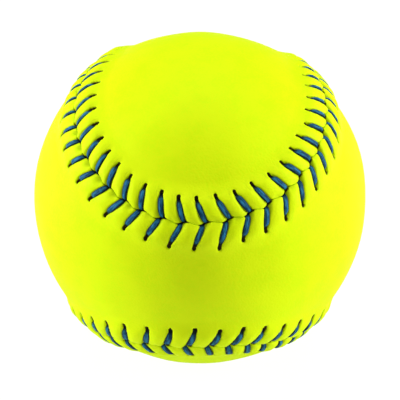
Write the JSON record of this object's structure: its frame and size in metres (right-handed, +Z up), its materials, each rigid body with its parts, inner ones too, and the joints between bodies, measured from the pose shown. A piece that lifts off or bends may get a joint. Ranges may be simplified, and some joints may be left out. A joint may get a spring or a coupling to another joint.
{
  "type": "softball",
  "caption": "Bright yellow-green game ball: a moulded core inside interlocking figure-eight cover panels, joined by a raised seam of V-shaped stitches.",
  "frame": {"origin": "middle of the ball", "axes": "+Z up through the top lobe of the top and bottom panel, -Y forward through the waist of the left and right panel, +X through the right lobe of the left and right panel; +Y is also the seam's axis of half-turn symmetry"},
  "size_m": [0.097, 0.0982, 0.097],
  "materials": {
    "core": "moulded polyurethane foam with a fine matt skin",
    "cover": "fluorescent synthetic leather, fine grain, low sheen",
    "thread": "waxed heavy stitching thread"
  },
  "bodies": {
    "root": {"core": "core", "cover_left_right": "cover", "cover_top_bottom": "cover", "thread_1": "thread", "thread_2": "thread"}
  },
  "joints": []
}
